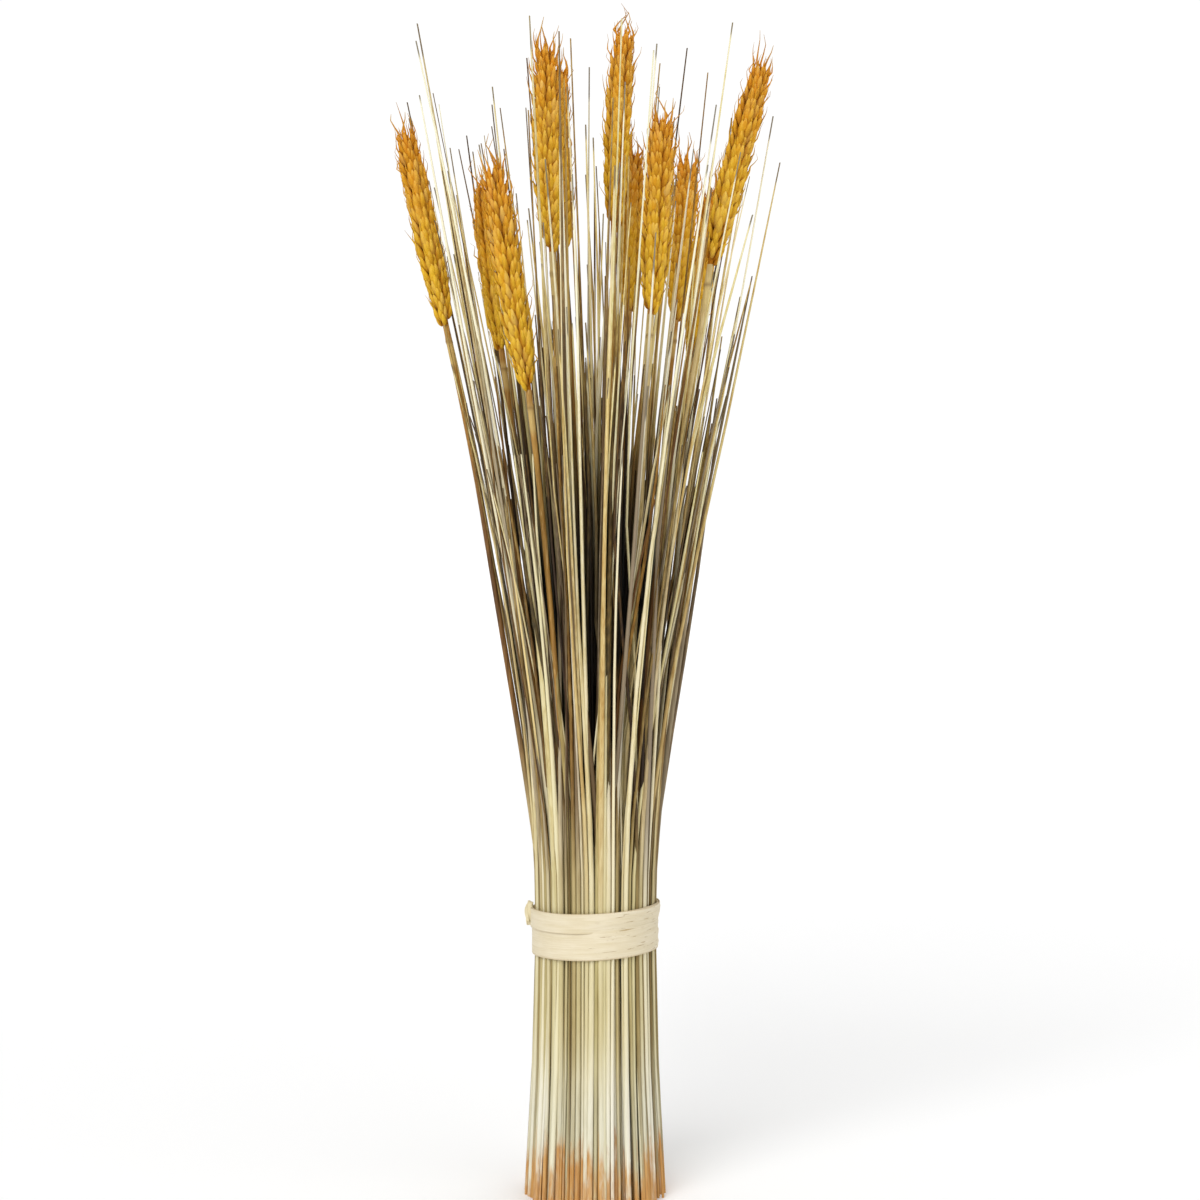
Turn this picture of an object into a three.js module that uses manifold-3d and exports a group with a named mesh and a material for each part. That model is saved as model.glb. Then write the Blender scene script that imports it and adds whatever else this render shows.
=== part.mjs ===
// A standing bundle of dried wheat: wheat stalks with their ears and tufts of fine grass straw, bound at the waist
// by a wound strip of raffia. Millimetres, +Z up. The origin is the middle of the cut foot, on the surface that
// the bundle stands on, and the side that shows most ears faces -Y.
//
// Every straw follows one flow. It is packed beside its neighbours at the waist, and above and below the waist
// the whole section widens along a hyperbola, as straight sticks do when they are tied in the middle. A place in
// the bundle is named by where its line crosses the waist, so neighbouring lines never meet.

import * as THREE from "three";
import { mergeVertices } from "three/addons/utils/BufferGeometryUtils.js";
import Module from "manifold-3d";

// The flow
const WAIST_HEIGHT = 111;
const WAIST_RADIUS = 25.2;
const FOOT_FLARE = 0.13; // how fast the radius grows with distance, far below the waist
const CROWN_FLARE = 0.246; // the same, far above the waist
const SWIRL = 0.16; // radians that neighbouring layers have turned against each other, per SWIRL_RISE of height
const SWIRL_RISE = 300;
const GAP = 0.3; // between pieces that lie against each other
const FINEST = 0.01; // details smaller than this are smoothed away where straws join

// The tufts of grass straw
const TUFTS = 34;
const STRAWS_PER_TUFT = 10;
const STRAW_RADIUS = 1.05; // where a straw leaves the packed part
const STRAW_TIP_RADIUS = 0.45;
const SHORTEST_STRAW = 285;
const TALLEST_STRAW = 478;
const SHORTNESS = 0.9; // the more above 1, the more of the straws are short
const RIM_STRAWS = 75; // side by side round the waist
const RIM_RELIEF = 0.35; // how deep the grooves between them are drawn
const PACKED_ABOVE_WAIST = 36; // up to here a tuft's straws stand side by side, as one piece
const ROOTED = 5; // how far a free straw reaches down into the packed part
const LEAST_FREE = 20; // the least height of a straw above the packed part
const LEAST_STRETCH = 15; // the least length of a straw beyond its bend
const TUFT_TWIST = 1.7; // radians, the most that a tuft has turned about its own middle at the tallest straw's tip

// The wheat
const STALK_RADIUS = 1.3;
const NECK_RADIUS = 1.1; // of a stalk, just under its ear
const EAR_WIDTH = 13.5; // across the two rows of spikelets
const EAR_DEPTH = 10.5; // through the plaited faces
const EAR_ROOM = 1.5; // free space kept between an ear and a straw
const BEARD_LENGTH = 13; // of the bristle at the tip
const BEARD_RADIUS = 0.35;
const SPIKELET_PAIRS = 7;
const SPIKELET_STEP = 0.8; // the half-width between two spikelets of a row, as a share of that at a spikelet

// Each ear: where its stalk crosses the waist, as a share of the waist radius and a bearing in degrees from +X, the
// height of its base, the length of its grain-bearing part, how much it leans beyond the flow in X and Y, and the
// bearing of its broad side.
const EARS = [
  { share: 0.945, bearing: 184, base: 362, length: 75, lean: [0.0, 0.0], broad: 35 },
  { share: 0.77, bearing: 236, base: 332, length: 84, lean: [-0.05, -0.02], broad: 8 },
  { share: 0.62, bearing: 178, base: 354, length: 66, lean: [0.02, 0.02], broad: 50 },
  { share: 0.39, bearing: 231, base: 390, length: 79, lean: [0.03, -0.02], broad: 5 },
  { share: 0.235, bearing: 133, base: 398, length: 74, lean: [0.02, 0.02], broad: 20 },
  { share: 0.155, bearing: 42, base: 407, length: 80, lean: [0.04, 0.0], broad: 25 },
  { share: 0.69, bearing: 304, base: 362, length: 72, lean: [0.0, -0.01], broad: 14 },
  { share: 0.46, bearing: 66, base: 374, length: 68, lean: [-0.03, 0.03], broad: 150 },
  { share: 0.695, bearing: 346, base: 386, length: 78, lean: [0.12, 0.0], broad: 22 },
  { share: 0.65, bearing: 16, base: 352, length: 67, lean: [-0.02, 0.02], broad: 60 },
  { share: 0.81, bearing: 50, base: 372, length: 70, lean: [-0.03, 0.02], broad: 170 },
];

// The tie
const TIE_WIDTH = 19;
const TIE_THICKNESS = 0.5;
const TIE_MIDDLE = 111; // height of the strip's middle
const TIE_TILT = 1.2; // how much higher the strip is on its +X side
const TIE_TURNS = 1.98;
const TIE_STEPS = 30; // flat faces to a turn
const TIE_START = 178; // degrees from +X, beside the knot
const TIE_END_SHARE = 0.42; // towards its outer end the strip is gathered to this share of its width,
const GATHER_FROM = 0.8; // from this many turns before the end
const GATHER_TO = 0.56; // to this many
const KNOT_WIDTH = 3.4; // how far the folded end stands out
const KNOT_HEIGHT = 9;
const KNOT_DEPTH = 5;

const PACKED_TOP = WAIST_HEIGHT + PACKED_ABOVE_WAIST;
const TIE_BOTTOM = TIE_MIDDLE - TIE_WIDTH / 2;
const TIE_TOP = TIE_MIDDLE + TIE_WIDTH / 2;
const PACKED_LEVELS = [0, TIE_BOTTOM, TIE_TOP, PACKED_TOP];
const BEND_LEVEL = PACKED_TOP + 135; // a free straw or stalk is straight below and above it
const LOOK_STEP = 4; // how often a straw's way up is checked for ears
const EVENING_PASSES = 25;
const SHORTEST_EDGE = 0.2; // of a tuft's section
const GOLDEN_ANGLE = Math.PI * (3 - Math.sqrt(5));
const STRAW_COLOUR = "#c9b98c";
const STALK_COLOUR = "#b98a3c";
const EAR_COLOUR = "#d29a2a";
const RAFFIA_COLOUR = "#e0d3b0";

const wasm = await Module();
wasm.setup();

// Numbers from 0 to 1 that look random and are the same on every run.
function dice(seed) {
  let state = seed;
  return () => {
    state = (state + 0x6d2b79f5) | 0;
    let t = Math.imul(state ^ (state >>> 15), 1 | state);
    t = (t + Math.imul(t ^ (t >>> 7), 61 | t)) ^ t;
    return ((t ^ (t >>> 14)) >>> 0) / 4294967296;
  };
}

// ---- The flow ----

// The section's size at a height, as a multiple of its size at the waist.
function spread(z) {
  const away = z - WAIST_HEIGHT;
  return Math.hypot(1, ((away > 0 ? CROWN_FLARE : FOOT_FLARE) * away) / WAIST_RADIUS);
}

// How far the layer at this waist radius has turned about the bundle's axis at a height.
function swirl(radius, z) {
  const rise = Math.max(0, z - PACKED_TOP) / SWIRL_RISE;
  return SWIRL * rise * Math.sin((2.5 * Math.PI * radius) / WAIST_RADIUS);
}

// Where the line through this place at the waist is at a height.
function along(place, z) {
  const turned = place.clone().rotateAround(new THREE.Vector2(), swirl(place.length(), z));
  return turned.multiplyScalar(spread(z));
}

// ---- Geometry helpers ----

// Moves each vertex of a geometry to move(x, y, z).
function reshaped(geometry, move) {
  const position = geometry.getAttribute("position");
  for (let i = 0; i < position.count; i++) {
    const [x, y, z] = move(position.getX(i), position.getY(i), position.getZ(i));
    position.setXYZ(i, x, y, z);
  }
  return geometry;
}

// A round rod of unit radius whose axis is +Z, with one ring of vertices for each of these levels, counted 0, 1, 2...
function rod(sides, rings) {
  const geometry = new THREE.CylinderGeometry(1, 1, rings - 1, sides, rings - 1);
  return geometry.rotateX(Math.PI / 2).translate(0, 0, (rings - 1) / 2);
}

// A rod that runs through centre(z) with radius(z) at each level.
function stem(sides, levels, centre, radius, turn = 0) {
  return reshaped(rod(sides, levels.length).rotateZ(turn), (x, y, ring) => {
    const z = levels[Math.round(ring)];
    const middle = centre(z);
    return [middle.x + x * radius(z), middle.y + y * radius(z), z];
  });
}

function solidOf(geometry) {
  const bare = geometry.clone();
  bare.deleteAttribute("normal");
  bare.deleteAttribute("uv");
  const merged = mergeVertices(bare, 1e-4);
  const mesh = new wasm.Mesh({
    numProp: 3,
    vertProperties: merged.getAttribute("position").array,
    triVerts: new Uint32Array(merged.index.array),
  });
  return new wasm.Manifold(mesh);
}

function geometryOf(solid) {
  const mesh = solid.getMesh();
  const geometry = new THREE.BufferGeometry();
  geometry.setAttribute("position", new THREE.BufferAttribute(mesh.vertProperties, 3));
  geometry.setIndex(new THREE.BufferAttribute(mesh.triVerts, 1));
  return geometry;
}

function named(name, geometry, colour, roughness) {
  const material = new THREE.MeshStandardMaterial({ color: colour, roughness, metalness: 0 });
  const mesh = new THREE.Mesh(geometry, material);
  mesh.name = name;
  return mesh;
}

function numbered(name, index) {
  return name + "_" + String(index + 1).padStart(2, "0");
}

// ---- Stalks and ears ----

function waistPlace(ear) {
  const bearing = THREE.MathUtils.degToRad(ear.bearing);
  const radius = ear.share * WAIST_RADIUS;
  return new THREE.Vector2(radius * Math.cos(bearing), radius * Math.sin(bearing));
}

// The ear's axis as a function of the distance above its base: it leaves along its stalk and leans a little more.
function earAxis(ear) {
  const place = waistPlace(ear);
  const base = along(place, ear.base);
  const slope = along(place, ear.base + ear.length).sub(base).divideScalar(ear.length);
  const lean = slope.add(new THREE.Vector2(...ear.lean));
  return (rise) => base.clone().addScaledVector(lean, rise);
}

function stalkGeometry(ear) {
  const place = waistPlace(ear);
  const top = ear.base - GAP;
  const levels = [...PACKED_LEVELS, BEND_LEVEL, top];
  const radius = (z) => THREE.MathUtils.lerp(STALK_RADIUS, NECK_RADIUS, z / top);
  return stem(5, levels, (z) => along(place, z), radius);
}

// The ear's half-width at a share of its length, from base to tip, without the spikelets' steps.
function earFullness(share) {
  return Math.min(1, 0.55 + 2.2 * share) * Math.pow(Math.max(0, 1 - Math.pow(share, 4)), 0.5);
}

// A flattened spindle whose two sides step out in turn, as the spikelets stand left and right of the axis.
function earGeometry(ear) {
  const axis = earAxis(ear);
  const broad = THREE.MathUtils.degToRad(ear.broad);
  const rings = 2 * SPIKELET_PAIRS + 1;
  const levels = Array.from({ length: rings }, (_, i) => (ear.length * i) / (rings - 1));
  levels.push(ear.length + BEARD_LENGTH);
  return reshaped(rod(6, levels.length).rotateZ(Math.PI / 6), (x, y, level) => {
    const ring = Math.round(level);
    const share = levels[ring] / ear.length;
    const step = (ring % 2 ? 1 : -1) * Math.sign(x) > 0 ? 1 : SPIKELET_STEP;
    const full = Math.max(earFullness(share) * (share > 0 && share < 1 ? step : 1), (2 * BEARD_RADIUS) / EAR_DEPTH);
    const across = ((x * EAR_WIDTH) / 2) * full;
    const through = ((y * EAR_DEPTH) / 2) * full;
    const middle = axis(levels[ring]);
    return [
      middle.x + across * Math.cos(broad) - through * Math.sin(broad),
      middle.y + across * Math.sin(broad) + through * Math.cos(broad),
      ear.base + levels[ring],
    ];
  });
}

// ---- Tufts ----

// Keeps the part of a convex outline where (point - on) . normal >= 0.
function clipped(outline, on, normal) {
  const kept = [];
  outline.forEach((a, i) => {
    const b = outline[(i + 1) % outline.length];
    const [da, db] = [a, b].map((p) => p.clone().sub(on).dot(normal));
    if (da >= 0) kept.push(a);
    if (da * db < 0) kept.push(a.clone().lerp(b, da / (da - db)));
  });
  return kept;
}

function centroid(outline) {
  const middle = new THREE.Vector2();
  let area = 0;
  outline.forEach((a, i) => {
    const b = outline[(i + 1) % outline.length];
    middle.addScaledVector(a.clone().add(b), a.cross(b) / 3);
    area += a.cross(b);
  });
  return middle.divideScalar(area);
}

// The part of a rim that belongs to one tuft: nearer to its middle than to any other's, and clear of the stalks.
function cellOf(rim, middle, others, stalks) {
  let outline = rim;
  for (const other of others) {
    const apart = middle.clone().sub(other);
    const between = middle.clone().add(other).multiplyScalar(0.5);
    const normal = apart.clone().normalize();
    outline = clipped(outline, between.addScaledVector(normal, GAP / 2), normal);
  }
  for (const stalk of stalks) {
    const normal = middle.clone().sub(stalk).normalize();
    outline = clipped(outline, stalk.clone().addScaledVector(normal, STALK_RADIUS + GAP), normal);
  }
  return outline.filter((p, i) => p.distanceTo(outline[(i + 1) % outline.length]) > SHORTEST_EDGE);
}

function smoothRim() {
  return new THREE.EllipseCurve(0, 0, WAIST_RADIUS, WAIST_RADIUS).getPoints(40).slice(1);
}

// The waist's outline with the straws that lie round it drawn as ridges.
function ridgedRim() {
  return Array.from({ length: 2 * RIM_STRAWS }, (_, i) => {
    const radius = WAIST_RADIUS - (i % 2) * RIM_RELIEF;
    return new THREE.Vector2(radius, 0).rotateAround(new THREE.Vector2(), (Math.PI * i) / RIM_STRAWS);
  });
}

// The tufts' middles: a sunflower pattern, evened out by moving each to the middle of its cell. The first stays on
// the axis.
function tuftMiddles(stalks) {
  let middles = Array.from({ length: TUFTS }, (_, i) => {
    const radius = WAIST_RADIUS * Math.sqrt(i / TUFTS);
    return new THREE.Vector2(radius, 0).rotateAround(new THREE.Vector2(), i * GOLDEN_ANGLE);
  });
  for (let pass = 0; pass < EVENING_PASSES; pass++) {
    middles = middles.map((middle, i) => {
      const others = middles.filter((_, j) => j !== i);
      return i ? centroid(cellOf(smoothRim(), middle, others, stalks)) : middle;
    });
  }
  return middles;
}

// The place in a convex outline at this bearing from its middle and this share of the way to a margin inside its edge.
function placeIn(outline, middle, bearing, share, margin) {
  const way = new THREE.Vector2(Math.cos(bearing), Math.sin(bearing));
  let reach = Infinity;
  outline.forEach((a, i) => {
    const edge = outline[(i + 1) % outline.length].clone().sub(a).normalize();
    const outward = new THREE.Vector2(edge.y, -edge.x);
    const facing = way.dot(outward);
    if (facing > 0) reach = Math.min(reach, (a.clone().sub(middle).dot(outward) - margin) / facing);
  });
  return middle.clone().addScaledVector(way, share * Math.max(0, reach));
}

// The highest level up to this one at which a line keeps clear of every ear.
function clearHeight(line, wanted, ears) {
  const room = Math.max(EAR_WIDTH, EAR_DEPTH) / 2 + EAR_ROOM + STRAW_RADIUS;
  for (let z = PACKED_TOP; z < wanted; z += LOOK_STEP) {
    for (const { ear, axis } of ears) {
      const rise = z - ear.base;
      const near = rise > -3 * room && rise < ear.length + BEARD_LENGTH + room;
      if (near && line(z).distanceTo(axis(Math.max(0, rise))) < room) return z - EAR_ROOM;
    }
  }
  return wanted;
}

// A solid without the small hollows that are left where straws lie across each other.
function outerBody(solid) {
  return solid.decompose().reduce((a, b) => (a.volume() > b.volume() ? a : b));
}

// The packed part of a tuft: its waist section, carried up and down the flow.
function packedSolid(outline) {
  const steps = PACKED_LEVELS.length - 1;
  const block = new THREE.ExtrudeGeometry(new THREE.Shape(outline), { depth: steps, steps, bevelEnabled: false });
  const shaped = reshaped(block, (x, y, level) => {
    const z = PACKED_LEVELS[Math.round(level)];
    const p = along(new THREE.Vector2(x, y), z);
    return [p.x, p.y, z];
  });
  return solidOf(shaped);
}

function strawSolid(line, top, turn) {
  const levels = [PACKED_TOP - ROOTED, BEND_LEVEL, top].filter((z) => z === top || z < top - LEAST_STRETCH);
  const taper = (z) => THREE.MathUtils.mapLinear(z, PACKED_TOP, TALLEST_STRAW, STRAW_RADIUS, STRAW_TIP_RADIUS);
  return solidOf(stem(3, levels, line, taper, turn));
}

function tuftGeometry(section, outline, middle, ears, random) {
  const twist = TUFT_TWIST * (2 * random() - 1);
  const start = 2 * Math.PI * random();
  let tuft = packedSolid(section);
  for (let i = 0; i < STRAWS_PER_TUFT; i++) {
    const share = Math.sqrt((i + 0.3) / STRAWS_PER_TUFT);
    const line = (z) => {
      const rise = Math.max(0, z - PACKED_TOP) / (TALLEST_STRAW - PACKED_TOP);
      const bearing = start + i * GOLDEN_ANGLE + twist * rise;
      return along(placeIn(outline, middle, bearing, share, STRAW_RADIUS + RIM_RELIEF), z);
    };
    const wanted = THREE.MathUtils.lerp(SHORTEST_STRAW, TALLEST_STRAW, random() ** SHORTNESS);
    const top = Math.max(PACKED_TOP + LEAST_FREE, clearHeight(line, wanted, ears));
    tuft = tuft.add(strawSolid(line, top, 2 * Math.PI * random()));
  }
  return geometryOf(outerBody(tuft.simplify(FINEST)));
}

// ---- The tie ----

// The radius at which the strip's first turn clears the straws.
function tieRadius() {
  return WAIST_RADIUS * Math.max(spread(TIE_BOTTOM), spread(TIE_TOP)) + GAP;
}

// The strip, wound outwards from the knot by way of the back. Its outer end is gathered to the top edge.
function tieGeometry() {
  const inner = tieRadius();
  const steps = Math.round(TIE_TURNS * TIE_STEPS);
  const block = new THREE.BoxGeometry(TIE_THICKNESS, 1, steps, 1, 1, steps);
  return reshaped(block, (across, up, step) => {
    const turns = (TIE_TURNS * (step + steps / 2)) / steps;
    const angle = THREE.MathUtils.degToRad(TIE_START) - 2 * Math.PI * turns;
    const radius = inner + TIE_THICKNESS / 2 + across + (TIE_THICKNESS + GAP) * turns;
    const gathered = THREE.MathUtils.smoothstep(turns, TIE_TURNS - GATHER_FROM, TIE_TURNS - GATHER_TO);
    const width = TIE_WIDTH * THREE.MathUtils.lerp(1, TIE_END_SHARE, gathered);
    const height = TIE_TOP + (up - 0.5) * width + TIE_TILT * Math.cos(angle);
    return [radius * Math.cos(angle), radius * Math.sin(angle), height];
  });
}

// The strip's folded end, which stands on the layers that pass beneath it.
function knotGeometry() {
  const seat = tieRadius() + Math.ceil(TIE_TURNS) * (TIE_THICKNESS + GAP);
  const thick = 2 * TIE_THICKNESS;
  const fold = new THREE.Shape();
  fold.moveTo(0, 0);
  fold.lineTo(0, KNOT_HEIGHT);
  fold.lineTo(KNOT_WIDTH, KNOT_HEIGHT - thick);
  fold.lineTo(KNOT_WIDTH, thick);
  fold.lineTo(KNOT_WIDTH - thick, 0);
  fold.lineTo(KNOT_WIDTH - thick, KNOT_HEIGHT - 2 * thick);
  fold.lineTo(thick, KNOT_HEIGHT - thick);
  fold.lineTo(thick, 0);
  const geometry = new THREE.ExtrudeGeometry(fold, { depth: KNOT_DEPTH, bevelEnabled: false });
  geometry.translate(seat, 0, -KNOT_DEPTH / 2).rotateX(Math.PI / 2);
  geometry.rotateZ(THREE.MathUtils.degToRad(TIE_START)).translate(0, 0, TIE_TOP - KNOT_HEIGHT);
  return geometry;
}

// ---- The bundle ----

function wheat() {
  const group = new THREE.Group();
  EARS.forEach((ear, i) => {
    group.add(named(numbered("wheat_stalk", i), stalkGeometry(ear), STALK_COLOUR, 0.6));
    group.add(named(numbered("wheat_ear", i), earGeometry(ear), EAR_COLOUR, 0.65));
  });
  return group;
}

function grass() {
  const group = new THREE.Group();
  const stalks = EARS.map(waistPlace);
  const ears = EARS.map((ear) => ({ ear, axis: earAxis(ear) }));
  const middles = tuftMiddles(stalks);
  middles.forEach((middle, i) => {
    const others = middles.filter((_, j) => j !== i);
    const section = cellOf(ridgedRim(), middle, others, stalks);
    const outline = cellOf(smoothRim(), middle, others, stalks);
    const geometry = tuftGeometry(section, outline, middle, ears, dice(i + 1));
    group.add(named(numbered("grass_tuft", i), geometry, STRAW_COLOUR, 0.7));
  });
  return group;
}

function tie() {
  const group = new THREE.Group();
  group.add(named("tie_strip", tieGeometry(), RAFFIA_COLOUR, 0.75));
  group.add(named("tie_knot", knotGeometry(), RAFFIA_COLOUR, 0.75));
  return group;
}

const bundle = new THREE.Group();
bundle.add(wheat(), grass(), tie());

export default bundle;
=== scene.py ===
"""Gives a standing bundle of dried wheat its looks: the fine grass straws, the wheat stalks, their bearded
ears and the raffia that is wound round the waist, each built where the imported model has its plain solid."""

import math
import random

import bmesh
import bpy
import numpy
from bpy.props import FloatProperty, FloatVectorProperty, IntProperty, PointerProperty
from mathutils import Matrix, Vector, noise


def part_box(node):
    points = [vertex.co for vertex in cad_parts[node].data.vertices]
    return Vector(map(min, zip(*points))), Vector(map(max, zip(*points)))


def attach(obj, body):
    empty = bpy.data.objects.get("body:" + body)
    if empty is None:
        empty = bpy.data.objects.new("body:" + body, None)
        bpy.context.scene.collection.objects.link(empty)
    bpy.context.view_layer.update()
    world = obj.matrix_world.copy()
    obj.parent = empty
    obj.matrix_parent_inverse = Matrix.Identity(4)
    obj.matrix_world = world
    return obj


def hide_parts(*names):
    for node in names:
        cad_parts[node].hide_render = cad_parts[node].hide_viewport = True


bl_info = {
    "name": "Dried Wheat Bundle",
    "version": (1, 0, 0),
    "blender": (4, 5, 0),
    "location": "3D View > Sidebar > Wheat",
    "description": "Builds a tied, standing bundle of dried wheat with its materials and a plain stage",
    "category": "Object",
}

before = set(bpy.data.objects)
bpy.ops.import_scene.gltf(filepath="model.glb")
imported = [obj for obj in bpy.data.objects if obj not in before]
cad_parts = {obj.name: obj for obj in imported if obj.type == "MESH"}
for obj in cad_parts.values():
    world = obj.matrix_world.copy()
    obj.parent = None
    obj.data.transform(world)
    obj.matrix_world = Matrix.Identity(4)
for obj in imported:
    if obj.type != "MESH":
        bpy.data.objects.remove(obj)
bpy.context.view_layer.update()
MM = 0.001


def cad_nodes(stem):
    """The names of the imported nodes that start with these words, in order."""
    return sorted(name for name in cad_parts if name.startswith(stem))


# ---- Sizes and colours that a user would change ----


def colour_property(name, description, colour):
    """A colour swatch whose default is an sRGB hex colour."""
    return FloatVectorProperty(
        name=name, description=description, subtype="COLOR", size=3, min=0, max=1, default=linear(colour)
    )


def length_property(name, description, length):
    """A length in metres."""
    return FloatProperty(name=name, description=description, default=length, unit="LENGTH")


def linear(colour):
    """An sRGB colour such as "#c6b792" as linear red, green and blue."""
    parts = [int(colour[i : i + 2], 16) / 255 for i in (1, 3, 5)]
    return tuple(c / 12.92 if c <= 0.04045 else ((c + 0.055) / 1.055) ** 2.4 for c in parts)


class FlowSettings(bpy.types.PropertyGroup):
    """How the whole bundle is gathered at the waist and spreads above and below it."""

    waist_height: length_property("Waist Height", "Height of the narrowest section", 0.111)
    waist_radius: length_property("Waist Radius", "Radius of the narrowest section", 0.0252)
    foot_flare: FloatProperty(
        name="Foot Flare", description="Growth of the radius with distance, far below the waist", default=0.13
    )
    crown_flare: FloatProperty(
        name="Crown Flare",
        description="Growth of the radius with distance, far above the waist",
        default=0.246,
    )
    packed_top: length_property("Packed Top", "Height at which the straws come free", 0.147)


class StrawSettings(bpy.types.PropertyGroup):
    """The fine grass straws."""

    radius: length_property("Radius", "Radius of a straw at its foot", 0.00114)
    tip_radius: length_property("Tip Radius", "Radius of a straw at its tip", 0.00028)
    bow: length_property("Bow", "How far a straw is bowed to one side", 0.0035)
    brown: colour_property("Brown", "Straw that has weathered", "#6b5230")
    rust: colour_property("Rust", "Water stain at the cut foot", "#b67a34")


class StalkSettings(bpy.types.PropertyGroup):
    """The stalks that carry the ears."""

    radius: length_property("Radius", "Radius of a stalk at its foot", 0.00135)
    neck: length_property("Neck Radius", "Radius of a stalk just under its ear", 0.00112)
    gold: colour_property("Gold", "Ripe stalk", "#c2913c")
    joint: colour_property("Joint", "Joints of the stalk", "#6e4318")


class EarSettings(bpy.types.PropertyGroup):
    """The ears of wheat."""

    spikelets: IntProperty(name="Spikelets", description="Spikelets in one row of an ear", default=15, min=4)
    floret_length: length_property("Floret Length", "Length of one husk", 0.0098)
    floret_width: length_property("Floret Width", "Width of one husk", 0.0033)
    bristle: length_property("Bristle", "Length of a bristle at the side of an ear", 0.0076)
    beard: length_property("Beard", "Length of a bristle at the tip of an ear", 0.016)
    gold: colour_property("Gold", "Husks at the base of an ear", "#e3b62e")
    orange: colour_property("Orange", "Husks at the tip of an ear", "#d98c18")


class TieSettings(bpy.types.PropertyGroup):
    """The raffia strip and its folded end."""

    clearance: length_property("Clearance", "Space between the straws and the strip", 0.0003)
    thickness: length_property("Thickness", "Thickness of the strip", 0.0005)
    turns: FloatProperty(name="Turns", description="Turns that the strip makes", default=1.98)
    start: FloatProperty(
        name="Start",
        description="Bearing of the strip's inner end",
        default=math.radians(178),
        subtype="ANGLE",
    )
    tilt: length_property("Tilt", "How far the strip rises at its right and sinks at its left", 0.0012)
    cream: colour_property("Cream", "Clean raffia", "#e9dfc8")
    # Tan also colours the painted shade line along the strip's edges
    tan: colour_property("Tan", "Raffia fibres and folds", "#b3986a")


class StageSettings(bpy.types.PropertyGroup):
    """The camera, the lights and the sheet that the bundle stands on."""

    distance: length_property("Distance", "Camera's distance from the bundle", 0.80)
    height: length_property("Camera Height", "Camera's height above the floor", 0.248)
    seen: length_property("Seen", "Height of what the camera sees at the bundle", 0.504)
    key: FloatProperty(name="Key Light", description="Strength of the main light", default=1.6)
    sky: FloatProperty(name="Sky", description="Strength of the white light from all round", default=0.5)


# ---- Shader expressions ----


class Value:
    """A socket's value, which takes part in sums: each sum adds its Math node."""

    def __init__(self, tree, socket):
        self.tree, self.socket = tree, socket

    def math(self, operation, *values):
        node = self.tree.nodes.new("ShaderNodeMath")
        node.operation = operation
        for socket, value in zip(node.inputs, values):
            feed(self.tree, socket, value)
        return Value(self.tree, node.outputs[0])

    def __add__(self, other):
        return self.math("ADD", self, other)

    def __sub__(self, other):
        return self.math("SUBTRACT", self, other)

    def __rsub__(self, other):
        return self.math("SUBTRACT", other, self)

    def __mul__(self, other):
        return self.math("MULTIPLY", self, other)

    __radd__ = __add__
    __rmul__ = __mul__

    def step(self, low, high):
        """0 below low and 1 above high, with a smooth rise between."""
        node = self.tree.nodes.new("ShaderNodeMapRange")
        node.interpolation_type = "SMOOTHSTEP"
        for socket, value in zip(node.inputs, (self, low, high, 0, 1)):
            feed(self.tree, socket, value)
        return Value(self.tree, node.outputs[0])


def feed(tree, socket, value):
    """Links a value to a socket, or sets a plain number or colour on it."""
    if isinstance(value, Value):
        tree.links.new(value.socket, socket)
    elif hasattr(socket.default_value, "__len__") and len(socket.default_value) == 4 and len(value) == 3:
        socket.default_value = (*value, 1)
    else:
        socket.default_value = value


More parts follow.
